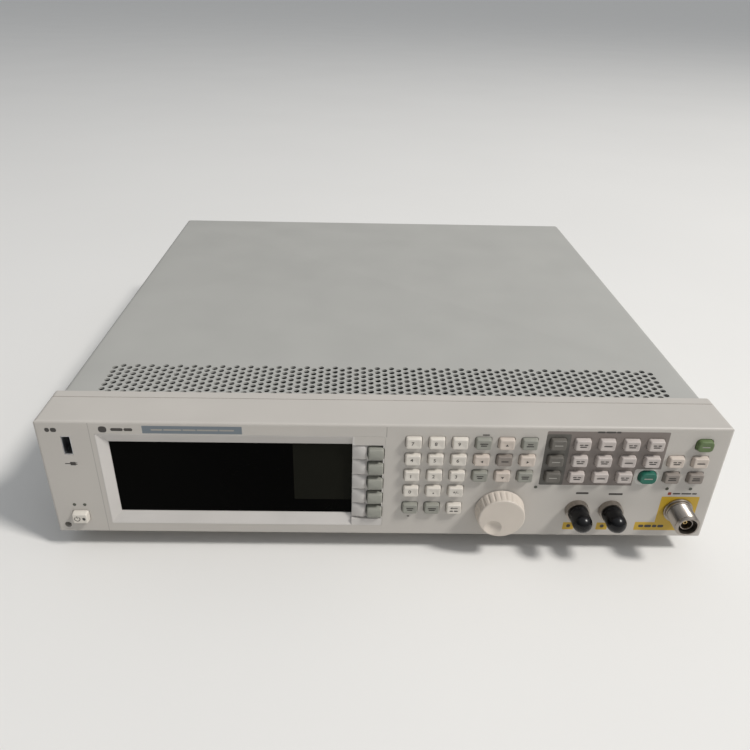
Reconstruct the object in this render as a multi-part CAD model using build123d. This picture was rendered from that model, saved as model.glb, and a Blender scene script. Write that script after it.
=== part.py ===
from build123d import *
from math import atan2, cos, degrees, radians, sin
import os

# Two-unit bench signal generator. Every sub-part is drawn in a panel frame: X to the right as the
# user sees it, Y into the case, Z up, with y = 0 on the front panel and z = 0 at the bezel's lower
# edge. save() then moves it to the part's own frame, whose origin is the bottom centre of its box.

# Case
BEZEL_W, BEZEL_H, BEZEL_D = 428.0, 88.0, 34.6   # moulded front frame
BEZEL_SIDE, BEZEL_WALL, PANEL_T = 5.0, 4.0, 3.0   # its side walls, top and bottom walls, and front plate
BEZEL_CORNER, SIDE_ROUND, TOP_ROUND = 3.0, 2.0, 1.5
GROOVE_Y, GROOVE_W, GROOVE_DEEP = 27.2, 0.8, 0.4
COVER_W, COVER_Z0, COVER_Z1 = 420.0, 0.8, 86.8  # sheet-metal sleeve behind the bezel
CASE_BACK, SHEET, COVER_ROUND = 400.0, 1.2, 4.0
FOOT_H = 15.0                                   # ground to the bezel's lower edge
REAR_FOOT_D = 32.0                              # rear standoffs beyond the rear panel
CAP_TIP = 19.0                                  # dust caps in front of the panel
MID_Y = (CASE_BACK + REAR_FOOT_D - CAP_TIP) / 2

# Keys
KEY_W, KEY_H, KEY_ROUND = 10.0, 8.0, 1.3
KEY_OUT, KEY_TAPER, KEY_EDGE = 3.0, 9.0, 0.5    # height above the panel, side slope, top edge radius
KEY_GAP, KEY_LIP, KEY_BACK = 0.35, 0.7, 5.4     # clearance in the panel, retaining lip, rear face
BOARD_Y, BOARD_T = 7.6, 1.6                     # keypad circuit board
ROWS = [75.8, 63.2, 50.7, 38.2, 24.1]
PAD_X, PAD_PITCH = 17.0, 14.3                   # number pad and arrow pad columns
MENU_X, MENU_PITCH = 106.1, 15.2                # menu columns
SOFT_X, SOFT_Z, SOFT_PITCH = -6.0, 66.4, 11.7   # keys beside the display
SOFT_W, SOFT_H = 10.0, 8.6
POWER_X, POWER_Z, POWER_W, POWER_H = -196.8, 14.0, 10.4, 8.4

# Display
FRAME_X0, FRAME_X1, FRAME_Z0, FRAME_Z1 = -178.0, -0.6, 7.6, 79.2
GLASS_X0, GLASS_X1, GLASS_Z0, GLASS_Z1 = -171.8, -20.7, 15.2, 71.1
GLASS_Y, GLASS_T, FRAME_GAP = 3.5, 2.0, 0.1
SCALLOP_X1, SCALLOP_R = -11.9, 9.0              # ramped pads between the glass and its keys

# Knob and encoder
KNOB_X, KNOB_Z, KNOB_RB, KNOB_RF = 75.7, 22.6, 16.2, 15.1
KNOB_Y0, KNOB_Y1, FLUTES = -9.6, -0.7, 32
SHAFT_R, RUN_FIT = 3.0, 0.05

# Front sockets
BNC_Z, BNC_X = 23.0, (126.5, 148.5)
BNC_R, BNC_NECK, BNC_LEN = 4.8, 4.5, 11.0
NUT_R, NUT_T, LUG_R, LUG_AT = 7.7, 4.2, 5.4, 5.8
CAP_R, CAP_BORE, CAP_BACK = 6.3, 5.75, 4.6
RF_X, RF_Z, RF_R, RF_NECK, RF_LEN = 193.0, 23.5, 7.9, 7.8, 16.5
USB_X, USB_Z = -196.0, 69.9
LEDS = [(-199.9, 23.1), (-193.3, 23.1), (97.1, 41.3), (182.1, 40.9), (197.3, 40.9)]
LED_R = 1.1

# Feet and stands
FEET_X, FRONT_FOOT_Y, BACK_FOOT_Y = 165.0, 62.0, 352.0
FOOT_W, FOOT_L = 36.0, 28.0
WIRE_R, STAND_HALF, STAND_LEN, STAND_Z = 2.0, 22.5, 42.0, -6.0

# Rear
FAN_X, FAN_Z, FAN_SIZE, FAN_D, FAN_BORE = 95.0, 43.8, 80.0, 25.0, 38.0
FAN_Y1 = CASE_BACK - 2.0
INLET_X, INLET_Z = 155.0, 24.0


def prism(sketch, y0, y1):
    """Extrude a sketch drawn in X and Z from y0 to y1."""
    return extrude(Plane((0, y1, 0), x_dir=(1, 0, 0), z_dir=(0, -1, 0)) * sketch, y1 - y0)


def slab(x0, x1, y0, y1, z0, z1):
    """Box between two corners."""
    return Pos((x0 + x1) / 2, (y0 + y1) / 2, (z0 + z1) / 2) * Box(x1 - x0, y1 - y0, z1 - z0)


def rod(x, z, radius, y0, y1):
    """Cylinder along Y."""
    return Pos(x, (y0 + y1) / 2, z) * Rot(90, 0, 0) * Cylinder(radius, y1 - y0)


def post(x, y, radius, z0, z1):
    """Cylinder along Z."""
    return Pos(x, y, (z0 + z1) / 2) * Cylinder(radius, z1 - z0)


def tube(x, z, outer, inner, y0, y1):
    """Ring along Y."""
    return prism(Pos(x, z) * (Circle(outer) - Circle(inner)), y0, y1)


def rounded(x0, x1, z0, z1, radius):
    """Rounded rectangle between two corners, in X and Z."""
    return Pos((x0 + x1) / 2, (z0 + z1) / 2) * RectangleRounded(x1 - x0, z1 - z0, radius)


def save(node, *solids):
    """Write one node, moved from the panel frame to the part's own frame."""
    placed = [Pos(0, -MID_Y, FOOT_H) * solid for item in solids for solid in item.solids()]
    shape = placed[0] if len(placed) == 1 else Compound(children=placed)
    export_step(shape, f"parts/{node}.step")


# ---------------------------------------------------------------- key places

def pad_key(column, row):
    """Centre of a key of the number pad or the arrow pad."""
    return PAD_X + PAD_PITCH * column, ROWS[row]


def menu_key(column, row):
    """Centre of a key of the menu block or beside it."""
    return MENU_X + MENU_PITCH * column, ROWS[row]


DIGITS = {"key_7": (0, 0), "key_8": (1, 0), "key_9": (2, 0), "key_4": (0, 1), "key_5": (1, 1),
          "key_6": (2, 1), "key_1": (0, 2), "key_2": (1, 2), "key_3": (2, 2), "key_0": (0, 3),
          "key_point": (1, 3), "key_sign": (2, 3)}
ARROWS = {"key_up": (4, 0), "key_left": (3, 1), "key_select": (4, 1), "key_right": (5, 1),
          "key_down": (4, 2)}
SINGLE_KEYS = {name: pad_key(*cell) for name, cell in {**DIGITS, **ARROWS}.items()}
SINGLE_KEYS["key_mod"] = menu_key(5, 2)
SINGLE_KEYS["key_rf"] = menu_key(6, 2)
KEY_GROUPS = {
    "corner_keys": [pad_key(column, row) for column in (3, 5) for row in (0, 2)],
    "entry_keys": [pad_key(column, 4) for column in range(3)],
    "function_keys": [menu_key(column, row) for row in range(3) for column in range(5)
                      if (column, row) != (4, 2)] + [menu_key(5, 1), menu_key(6, 1)],
}
OVAL_KEYS = {"key_preset": (*menu_key(6, 0), 10.4, 8.2, 2.6),
             "key_trigger": (*menu_key(4, 2), 11.2, 9.0, 3.4)}
SOFT_KEYS = {f"softkey_{i + 1}": (SOFT_X, SOFT_Z - SOFT_PITCH * i) for i in range(5)}


def key_cap(width, height, radius, out=KEY_OUT):
    """One key: a tapered cap with a soft front edge, a shank through the panel and a rear lip."""
    base = Plane((0, 0, 0), x_dir=(1, 0, 0), z_dir=(0, -1, 0)) * RectangleRounded(width, height, radius)
    cap = extrude(base, out, taper=KEY_TAPER)
    cap = fillet(cap.faces().sort_by(Axis.Y)[0].edges(), KEY_EDGE)
    shank = prism(RectangleRounded(width, height, radius), 0, PANEL_T + 0.4)
    lip = prism(RectangleRounded(width + 2 * KEY_LIP, height + 2 * KEY_LIP, radius), PANEL_T + 0.4, KEY_BACK)
    return cap + shank + lip


def key_hole(x, z, width, height, radius):
    """Panel opening for one key."""
    return Pos(x, z) * RectangleRounded(width + 2 * KEY_GAP, height + 2 * KEY_GAP, radius + KEY_GAP)


# ---------------------------------------------------------------- front panel

def front_bezel():
    """Moulded front frame: three crossed outlines, hollow behind, with all panel openings."""
    deep = 4 * BEZEL_D
    outline = prism(rounded(-BEZEL_W / 2, BEZEL_W / 2, 0, BEZEL_H, BEZEL_CORNER), 0, BEZEL_D)
    plan = extrude(Pos(0, deep / 2) * RectangleRounded(BEZEL_W, deep, SIDE_ROUND), BEZEL_H)
    side_plane = Plane((-BEZEL_W / 2, 0, 0), x_dir=(0, 1, 0), z_dir=(1, 0, 0))
    side_outline = Pos(deep / 2, BEZEL_H / 2) * RectangleRounded(deep, BEZEL_H, TOP_ROUND)
    side = extrude(side_plane * side_outline, BEZEL_W)
    body = outline & plan & side
    half = BEZEL_W / 2 - BEZEL_SIDE
    body -= prism(rounded(-half, half, BEZEL_WALL, BEZEL_H - BEZEL_WALL, 3), PANEL_T, deep)
    groove = rounded(-BEZEL_W, BEZEL_W, -BEZEL_H, 2 * BEZEL_H, 1) - rounded(
        GROOVE_DEEP - BEZEL_W / 2, BEZEL_W / 2 - GROOVE_DEEP, GROOVE_DEEP, BEZEL_H - GROOVE_DEEP,
        BEZEL_CORNER - GROOVE_DEEP)
    body -= prism(groove, GROOVE_Y, GROOVE_Y + GROOVE_W)
    return body - prism(Sketch() + panel_openings(), -1, PANEL_T + 1)


def panel_openings():
    """Every hole through the bezel's front plate, in X and Z."""
    grouped = [place for group in KEY_GROUPS.values() for place in group]
    holes = [key_hole(x, z, KEY_W, KEY_H, KEY_ROUND) for x, z in [*SINGLE_KEYS.values(), *grouped]]
    holes += [key_hole(*oval) for oval in OVAL_KEYS.values()]
    holes.append(key_hole(POWER_X, POWER_Z, POWER_W, POWER_H, KEY_ROUND))
    holes.append(rounded(FRAME_X0, FRAME_X1, FRAME_Z0, FRAME_Z1, 1.5))
    holes.append(rounded(USB_X - 3.0, USB_X + 3.0, USB_Z - 7.1, USB_Z + 7.1, 0.5))
    holes.append(Pos(KNOB_X, KNOB_Z) * Circle(4.7))
    holes += [Pos(x, BNC_Z) * Circle(BNC_NECK) for x in BNC_X]
    holes.append(Pos(RF_X, RF_Z) * Circle(RF_NECK))
    holes += [Pos(x, z) * Circle(LED_R) for x, z in LEDS]
    holes.append(Pos(-207.0, 6.0) * Circle(2.2))
    return holes


def display_frame():
    """Sloped surround of the display, with five domed pads and the openings for their keys."""
    gap = FRAME_GAP
    body = prism(rounded(FRAME_X0 + gap, FRAME_X1 - gap, FRAME_Z0 + gap, FRAME_Z1 - gap, 1.4), 0, PANEL_T)
    body += prism(rounded(FRAME_X0 - 3, FRAME_X1 + 3, FRAME_Z0 - 3, FRAME_Z1 + 3, 2), PANEL_T, GLASS_Y + 0.7)
    front = Rectangle(FRAME_X1 - FRAME_X0 - 1.0, FRAME_Z1 - FRAME_Z0 - 0.8)
    back = Rectangle(GLASS_X1 - GLASS_X0, GLASS_Z1 - GLASS_Z0)
    face = Plane((0, 0, 0), x_dir=(1, 0, 0), z_dir=(0, -1, 0))
    mid_x, mid_z = (FRAME_X0 + FRAME_X1) / 2, (FRAME_Z0 + FRAME_Z1) / 2
    slope = loft([face.offset(0.01) * Pos(mid_x, mid_z) * front,
                  face.offset(-GLASS_Y) * Pos((GLASS_X0 + GLASS_X1) / 2, (GLASS_Z0 + GLASS_Z1) / 2) * back])
    slope -= slab(GLASS_X1, 10, -1, 9, -10, BEZEL_H)
    body -= slope
    body -= prism(rounded(GLASS_X0, GLASS_X1, GLASS_Z0, GLASS_Z1, 0.3), GLASS_Y - 0.5, 9)
    low = SOFT_Z - SOFT_PITCH * 4.5
    high = SOFT_Z + SOFT_PITCH * 0.5
    recess = slab(GLASS_X1 - 1, FRAME_X1 - 1.0, -1, 2.0, low - 0.4, high + 0.4)
    body -= recess
    body += [scallop(z) for _, z in SOFT_KEYS.values()]
    body -= slab(SCALLOP_X1 - 0.6, FRAME_X1 + 0.6, PANEL_T, 9, low - 1, high + 1)
    holes = [key_hole(x, z, SOFT_W, SOFT_H, KEY_ROUND) for x, z in SOFT_KEYS.values()]
    return body - prism(Sketch() + holes, -1, 9)


def scallop(z):
    """Domed pad that rises from the glass to the front plane beside one key."""
    run, rise = SCALLOP_X1 - GLASS_X1, 2.3
    half = SOFT_PITCH / 2 - 0.15
    tilt = degrees(atan2(rise, run))
    middle = Pos((GLASS_X1 + SCALLOP_X1) / 2, SCALLOP_R + 1.0, z)
    dome = middle * Rot(0, 0, -tilt) * Rot(0, 90, 0) * Cylinder(SCALLOP_R, 3 * run)
    return dome & slab(GLASS_X1, SCALLOP_X1, -1, PANEL_T, z - half, z + half)


def display_window():
    """Flat glass behind the surround."""
    y0 = GLASS_Y + 0.7
    return prism(rounded(GLASS_X0 - 3, GLASS_X1 + 3, GLASS_Z0 - 3, GLASS_Z1 + 3, 1), y0, y0 + GLASS_T)


def lcd_module():
    """Liquid-crystal panel in its metal frame, with a driver board behind."""
    y0 = GLASS_Y + 0.7 + GLASS_T
    x0, x1, z0, z1 = GLASS_X0 - 3, GLASS_X1 + 3, GLASS_Z0 - 3, GLASS_Z1 + 3
    frame = prism(rounded(x0, x1, z0, z1, 1), y0, y0 + 7)
    frame -= prism(rounded(GLASS_X0 + 2, GLASS_X1 - 2, GLASS_Z0 + 2, GLASS_Z1 - 2, 0.5), y0 - 1, y0 + 0.8)
    chips = [slab(x, x + 12, y0 + 8.6, y0 + 10.4, 30, 42) for x in (-150, -120, -60)]
    return frame + slab(x0 + 10, x1 - 10, y0 + 7, y0 + 8.6, z0 + 8, z1 - 8) + chips


def keypad_board():
    """One C-shaped circuit board behind the keys, the display's lower edge and the power switch."""
    outline = rounded(-14.0, 208.0, 12.0, 83.5, 1) + rounded(-208.0, -183.0, 4.6, 83.5, 1)
    outline += rounded(-208.0, 0.0, 4.6, 11.0, 1)
    outline += rounded(-14.0, 100.0, 4.6, 14.0, 1)
    outline -= rounded(USB_X - 3.6, USB_X + 3.6, USB_Z - 7.4, USB_Z + 7.4, 0.4)
    outline -= Pos(KNOB_X, KNOB_Z) * Circle(4.8)
    outline -= [Pos(x, BNC_Z) * Circle(9.0) for x in BNC_X] + [Pos(RF_X, RF_Z) * Circle(12.0)]
    return prism(outline, BOARD_Y, BOARD_Y + BOARD_T)


def power_switch():
    """Stand-by push button."""
    return Pos(POWER_X, 0, POWER_Z) * key_cap(POWER_W, POWER_H, KEY_ROUND, out=3.8)


def knob():
    """Fluted tuning knob with a finger dimple, a hub bore and a hollow back."""
    depth = KNOB_Y1 - KNOB_Y0
    base = Plane((KNOB_X, KNOB_Y1, KNOB_Z), x_dir=(1, 0, 0), z_dir=(0, -1, 0))
    taper = degrees(atan2(KNOB_RB - KNOB_RF, depth))
    body = extrude(base * Circle(KNOB_RB), depth, taper=taper)
    body = fillet(body.faces().sort_by(Axis.Y)[0].edges(), 0.9)
    groove = rod(KNOB_X, KNOB_Z + KNOB_RB + 0.9, 1.35, KNOB_Y0 + 1.6, KNOB_Y1 + 1)
    turn = Pos(KNOB_X, 0, KNOB_Z)
    body -= [turn * Rot(0, 360 / FLUTES * i, 0) * turn.inverse() * groove for i in range(FLUTES)]
    body -= Pos(KNOB_X - 5.4, KNOB_Y0 - 7.2, KNOB_Z - 8.0) * Sphere(9.4)
    body -= tube(KNOB_X, KNOB_Z, KNOB_RB - 2.8, 5.6, KNOB_Y1 - 5.0, KNOB_Y1 + 1)
    body -= rod(KNOB_X, KNOB_Z, 5.6, KNOB_Y1 - 1.6, KNOB_Y1 + 1)
    return body - rod(KNOB_X, KNOB_Z, SHAFT_R, KNOB_Y0 + 3.4, KNOB_Y1)


def encoder_shaft():
    """Steel shaft that carries the knob and turns in the encoder."""
    return rod(KNOB_X, KNOB_Z, SHAFT_R, KNOB_Y0 + 3.4, 15.0)


def rotary_encoder():
    """Encoder: threaded bushing through the panel, flat nut behind it and a square body."""
    body = rod(KNOB_X, KNOB_Z, 4.5, 0.2, 11.0)
    body += slab(KNOB_X - 7, KNOB_X + 7, 9.2, 17.5, KNOB_Z - 7, KNOB_Z + 7)
    body += rod(KNOB_X, KNOB_Z, 7.0, PANEL_T, PANEL_T + 2.0)
    return body - rod(KNOB_X, KNOB_Z, SHAFT_R + RUN_FIT, -1, 15.4)


def indicator_leds():
    """Light guides of the stand-by, on, modulation and output indicators."""
    return [rod(x, z, LED_R, -0.15, BOARD_Y) for x, z in LEDS]


# ---------------------------------------------------------------- front sockets

def bnc_socket(x, z, y, way=-1):
    """Bayonet socket whose mouth points along way: round nut, barrel, two lugs, liner and contact."""
    def along(radius, start, end, inner=0.0):
        low, high = sorted((y + way * start, y + way * end))
        ring = rod(x, z, radius, low, high)
        return ring - rod(x, z, inner, low - 1, high + 1) if inner else ring
    lug = Pos(x, y + way * LUG_AT, z) * Cylinder(1.0, 2 * LUG_R)
    neck_end = LUG_AT + 1.1
    shell = along(NUT_R, 0, NUT_T) + along(BNC_NECK, -14.0, neck_end) + along(BNC_R, neck_end, BNC_LEN) + lug
    shell -= along(3.6, 3.0, BNC_LEN + 1)
    shell += along(2.2, 2.5, BNC_LEN - 1.6, 0.9)
    return [shell, along(0.7, 2.9, BNC_LEN - 2.2)]


def input_connectors():
    """Two bayonet inputs."""
    return [solid for x in BNC_X for solid in bnc_socket(x, BNC_Z, 0)]


def dust_cap(x):
    """Soft domed cap over one bayonet input."""
    back = -CAP_BACK
    dome = -(CAP_TIP - CAP_R)
    outer = rod(x, BNC_Z, CAP_R, dome, back) + Pos(x, dome, BNC_Z) * Sphere(CAP_R)
    rim = tube(x, BNC_Z, CAP_R + 0.3, CAP_R - 0.2, back - 1.4, back)
    return outer + rim - rod(x, BNC_Z, CAP_BORE, dome, back + 1)


def rf_output_connector():
    """Threaded coaxial output: flange, shoulder, threaded barrel, sleeve and centre contact."""
    shell = rod(RF_X, RF_Z, 9.4, -1.6, 0) + rod(RF_X, RF_Z, 8.6, -3.2, 0) + rod(RF_X, RF_Z, RF_NECK, 0, 14.0)
    shell += rod(RF_X, RF_Z, RF_R, -RF_LEN, -3.2)
    shell -= rod(RF_X, RF_Z, 5.9, -RF_LEN - 1, -8.0)
    shell += tube(RF_X, RF_Z, 4.2, 3.5, -RF_LEN + 2.5, -7.5)
    shell += rod(RF_X, RF_Z, 5.0, 14.0, 18.0)
    return [shell, tube(RF_X, RF_Z, 1.6, 0.85, -RF_LEN + 4.5, -8.0)]


def usb_socket():
    """Upright USB host socket: folded shell and contact tongue."""
    outer = rounded(USB_X - 2.85, USB_X + 2.85, USB_Z - 6.9, USB_Z + 6.9, 0.5)
    inner = rounded(USB_X - 2.5, USB_X + 2.5, USB_Z - 6.4, USB_Z + 6.4, 0.3)
    shell = prism(outer, 0.4, 16.0) - prism(inner, -1, 14.0)
    return shell + slab(USB_X + 0.2, USB_X + 2.1, 4.8, 14.5, USB_Z - 5.4, USB_Z + 5.4)


# ---------------------------------------------------------------- case

def outer_cover():
    """Sheet-metal sleeve. Its field of small round vent holes is cut in the finished surface model."""
    half = COVER_W / 2
    outer = rounded(-half, half, COVER_Z0, COVER_Z1, COVER_ROUND)
    inner = rounded(SHEET - half, half - SHEET, COVER_Z0 + SHEET, COVER_Z1 - SHEET, COVER_ROUND - SHEET)
    return prism(outer - inner, BEZEL_D, CASE_BACK)


def chassis():
    """Folded inner tray with a front bulkhead, a partition and board posts."""
    half, low, high, t = COVER_W / 2 - SHEET - 0.3, COVER_Z0 + SHEET + 0.2, 83.0, 1.2
    y0, y1 = 36.5, CASE_BACK - 2.2
    outer = rounded(-half, half, low, 2 * high, COVER_ROUND)
    inner = rounded(t - half, half - t, low + t, 2 * high, COVER_ROUND - t)
    tray = prism(outer, y0, y1) - prism(inner, y0 + t, y1 + 1) + slab(-95, t - 95, y0, y1, low + t, 60)
    tray -= slab(-half, half, 0, CASE_BACK, high, 3 * high)
    tray -= [rod(x, z, 6.0, 30, 40) for x, z in ((-40, 50), (40, 50), (120, 60))]
    tray -= rod(RF_X, RF_Z, 8.0, 30, 40)
    tray += [post(x, y, 3.0, low + t, 9.0) for x in (-85, 45) for y in (60, 330)]
    return tray


def rear_panel():
    """Rear plate with a fan grille, the inlet opening and socket openings."""
    half = COVER_W / 2 - SHEET - 0.1
    plate = rounded(-half, half, COVER_Z0 + SHEET + 0.1, COVER_Z1 - SHEET - 0.1, COVER_ROUND)
    plate -= rounded(INLET_X - 14, INLET_X + 14, INLET_Z - 10, INLET_Z + 10, 2)
    plate -= [rounded(*opening, 0.1) for opening in REAR_OPENINGS.values()]
    plate -= [Pos(x, z) * Circle(BNC_NECK) for x, z in REAR_BNCS]
    step = 8.4
    rows = range(-5, 6)
    cells = [(i * step + (j % 2) * step / 2, j * step * 3 ** 0.5 / 2) for i in rows for j in rows]
    reach = FAN_BORE - 3.6
    plate -= [Pos(FAN_X + x, FAN_Z + z) * Circle(3.4) for x, z in cells if x * x + z * z < reach ** 2]
    return prism(plate, FAN_Y1, CASE_BACK)


REAR_OPENINGS = {"lan": (-62.0, -46.0, 20.0, 33.6), "usb": (-90.0, -77.0, 20.0, 26.0),
                 "bus": (-170.0, -112.0, 16.5, 33.5)}
REAR_BNCS = [(-160 + 26 * i, 62.0) for i in range(7)]


def rear_connectors():
    """Rear sockets: bayonet row, network jack, USB socket and instrument bus."""
    y = CASE_BACK
    solids = [solid for x, z in REAR_BNCS for solid in bnc_socket(x, z, y, way=1)]
    x0, x1, z0, z1 = REAR_OPENINGS["lan"]
    jack = slab(x0 + 0.1, x1 - 0.1, y - 14, y + 1.0, z0 + 0.1, z1 - 0.1)
    solids.append(jack - slab(x0 + 2, x1 - 2, y - 10, y + 2, z0 + 3, z1 - 2.2))
    x0, x1, z0, z1 = REAR_OPENINGS["usb"]
    shell = slab(x0 + 0.1, x1 - 0.1, y - 12, y + 0.8, z0 + 0.1, z1 - 0.1)
    shell -= slab(x0 + 0.6, x1 - 0.6, y - 10, y + 2, z0 + 0.6, z1 - 0.6)
    solids.append(shell + slab(x0 + 1.2, x1 - 1.2, y - 11, y - 5, z1 - 2.4, z1 - 1.2))
    x0, x1, z0, z1 = REAR_OPENINGS["bus"]
    bus = slab(x0 + 0.1, x1 - 0.1, y - 12, y + 5.0, z0 + 0.1, z1 - 0.1)
    bus -= slab(x0 + 5, x1 - 5, y - 2, y + 6, z0 + 2, z1 - 2)
    solids.append(bus + slab(x0 + 8, x1 - 8, y - 3, y + 3.6, z0 + 6.5, z1 - 6.5))
    return solids


def power_inlet():
    """Three-pin mains inlet with a flange; its recess is open to the rear."""
    y = CASE_BACK
    body = prism(rounded(INLET_X - 13.8, INLET_X + 13.8, INLET_Z - 9.8, INLET_Z + 9.8, 2), y - 22, y)
    body += prism(rounded(INLET_X - 17, INLET_X + 17, INLET_Z - 12, INLET_Z + 12, 3), y, y + 2.5)
    body -= prism(rounded(INLET_X - 12.2, INLET_X + 12.2, INLET_Z - 8.2, INLET_Z + 8.2, 2.5), y - 17, y + 3)
    pins = [(-7.0, -2.0), (0.0, 4.0), (7.0, -2.0)]
    return [body] + [slab(INLET_X + x - 1, INLET_X + x + 1, y - 18, y - 2, INLET_Z + z - 2, INLET_Z + z + 2)
                     for x, z in pins]


def fan_frame():
    """Square fan housing with four struts and a bearing hub."""
    half, y0 = FAN_SIZE / 2, FAN_Y1 - FAN_D
    body = prism(rounded(FAN_X - half, FAN_X + half, FAN_Z - half, FAN_Z + half, 4), y0, FAN_Y1)
    body -= rod(FAN_X, FAN_Z, FAN_BORE, y0 - 1, FAN_Y1 + 1)
    corner = half - 4.2
    corners = [(FAN_X + x, FAN_Z + z) for x in (-corner, corner) for z in (-corner, corner)]
    body -= [rod(x, z, 2.1, y0 - 1, FAN_Y1 + 1) for x, z in corners]
    strut = slab(FAN_X - 2, FAN_X + 2, y0, y0 + 3, FAN_Z - FAN_BORE - 1, FAN_Z + FAN_BORE + 1)
    turn = Pos(FAN_X, 0, FAN_Z)
    body += [turn * Rot(0, angle, 0) * turn.inverse() * strut for angle in (45, 135)]
    body += rod(FAN_X, FAN_Z, 15.0, y0, y0 + 3) + rod(FAN_X, FAN_Z, 4.0, y0, y0 + 8)
    return body - rod(FAN_X, FAN_Z, 1.5 + RUN_FIT, y0 + 1, y0 + 9)


def fan_rotor():
    """Fan hub with its stub axle and seven pitched blades."""
    y0 = FAN_Y1 - FAN_D + 4.0
    y1 = FAN_Y1 - 2.0
    hub = rod(FAN_X, FAN_Z, 15.0, y0, y1) - rod(FAN_X, FAN_Z, 13.0, y0 - 1, y1 - 2)
    hub += rod(FAN_X, FAN_Z, 1.5, FAN_Y1 - FAN_D + 1.5, y1 - 1)
    blade = slab(-8.5, 8.5, -0.7, 0.7, 14.0, 36.5)
    turn = Pos(FAN_X, (y0 + y1) / 2, FAN_Z)
    blades = Part() + [turn * Rot(0, 360 / 7 * i, 0) * Rot(0, 0, 38) * blade for i in range(7)]
    return hub + (blades & rod(FAN_X, FAN_Z, 36.0, y0 + 0.5, y1 - 0.5))


# ---------------------------------------------------------------- inside

def open_can(x0, x1, y0, y1, z0, z1, wall):
    """Sheet or milled box with a separate lid resting on it, as two solids."""
    can = slab(x0, x1, y0, y1, z0, z1) - slab(x0 + wall, x1 - wall, y0 + wall, y1 - wall, z0 + wall, z1 + 1)
    return can, slab(x0, x1, y0, y1, z1, z1 + wall)


def power_supply():
    """Mains power supply in its own ventilated can."""
    can, lid = open_can(-204, -104, 230, 380, 4.2, 60, 1.2)
    slots = [slab(x, x + 3, 250, 360, 55, 65) for x in range(-190, -115, 12)]
    return [can, lid - slots]


def rf_module():
    """Milled synthesiser and output block with its ribbed lid and output stub."""
    can, lid = open_can(70, 203, 60, 290, 4.2, 46, 3.0)
    ribs = [slab(x, x + 2, 75, 275, 49, 55) for x in range(80, 200, 10)]
    return [can + rod(RF_X, RF_Z, 4.0, 52.0, 60.5), lid + ribs]


def processor_board():
    """Control board with its processor, memory and a finned heat sink."""
    board = slab(-90, 55, 50, 345, 9.0, 10.6)
    board += [slab(x, x + 14, y, y + 9, 10.6, 12.2) for x in (-75, -50) for y in range(70, 330, 30)]
    board += slab(-15, 25, 170, 210, 10.6, 14)
    return board + [slab(x, x + 1.6, 170, 210, 14, 26) for x in range(-15, 24, 4)]


def rf_cable():
    """Semi-rigid coaxial link from the output block to the output connector."""
    route = Line((RF_X, 18.0, RF_Z), (RF_X, 52.0, RF_Z))
    return sweep(Plane(route @ 0, z_dir=route % 0) * Circle(1.8), path=route)


# ---------------------------------------------------------------- feet and fasteners

def front_foot(x):
    """Moulded foot with a bore on each side for the tilt stand's ends."""
    foot = plain_foot(x, FRONT_FOOT_Y)
    bore = Pos(x, FRONT_FOOT_Y, STAND_Z) * Rot(0, 90, 0) * Cylinder(WIRE_R + RUN_FIT, 2 * FOOT_W)
    return foot - (bore - slab(x - 11.5, x + 11.5, 0, 200, -FOOT_H, 5))


def plain_foot(x, y):
    """Moulded foot: rounded block with a narrower, softened tread."""
    top = extrude(Pos(x, y, 0) * Rot(180, 0, 0) * RectangleRounded(FOOT_W, FOOT_L, 5), FOOT_H)
    top = fillet(top.faces().sort_by(Axis.Z)[0].edges(), 2.0)
    return top + extrude(Pos(x, y, 0) * RectangleRounded(FOOT_W, FOOT_L, 5), COVER_Z0)


def tilt_stand(x):
    """Bent wire stand, folded back under the case."""
    y0, y1, half, end = FRONT_FOOT_Y, FRONT_FOOT_Y + STAND_LEN, STAND_HALF, 12.0
    points = [(x - end, y0), (x - half, y0), (x - half, y1), (x + half, y1), (x + half, y0), (x + end, y0)]
    path = FilletPolyline(*[(px, py, STAND_Z) for px, py in points], radius=[4.0, 7.0, 7.0, 4.0])
    return sweep(Plane(path @ 0, z_dir=path % 0) * Circle(WIRE_R), path=path)


def rear_foot(x, z, height):
    """Hollow rear standoff with a flange on the rear panel."""
    outline = rounded(x - 13, x + 13, z - height / 2, z + height / 2, 4)
    foot = prism(outline, CASE_BACK, CASE_BACK + REAR_FOOT_D)
    foot = fillet(foot.faces().sort_by(Axis.Y)[-1].edges(), 1.5)
    return foot - rod(x, z, 4.0, CASE_BACK + 4, CASE_BACK + REAR_FOOT_D + 1)


REAR_FEET = [(x, z) for x in (-190.0, 190.0) for z in (14.0, 66.0)]


def screws():
    """Pan-head screws of the rear panel, the rear feet and the sides of the cover."""
    heads = [rod(x, z, 2.6, CASE_BACK, CASE_BACK + 1.8) for x in (-130, -20, 30, 148) for z in (6.5, 80.5)]
    heads += [rod(x, z, 3.4, CASE_BACK + 4, CASE_BACK + 7) for x, z in REAR_FEET]
    side = COVER_W / 2
    for y in (60.0, 220.0, 380.0):
        heads += [Pos(sign * (side + 0.7), y, 43.8) * Rot(0, 90, 0) * Cylinder(2.8, 1.4) for sign in (-1, 1)]
    return [head - cross_recess(head) for head in heads]


def cross_recess(head):
    """Two crossed slots centred on a screw head's outer face."""
    centre = head.center()
    if abs(centre.X) > COVER_W / 2:
        outer = centre.X + (0.7 if centre.X > 0 else -0.7)
        return Pos(outer, centre.Y, centre.Z) * (Box(1.4, 3.2, 0.6) + Box(1.4, 0.6, 3.2))
    outer = head.bounding_box().max.Y
    return Pos(centre.X, outer, centre.Z) * (Box(3.2, 1.6, 0.6) + Box(0.6, 1.6, 3.2))


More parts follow.
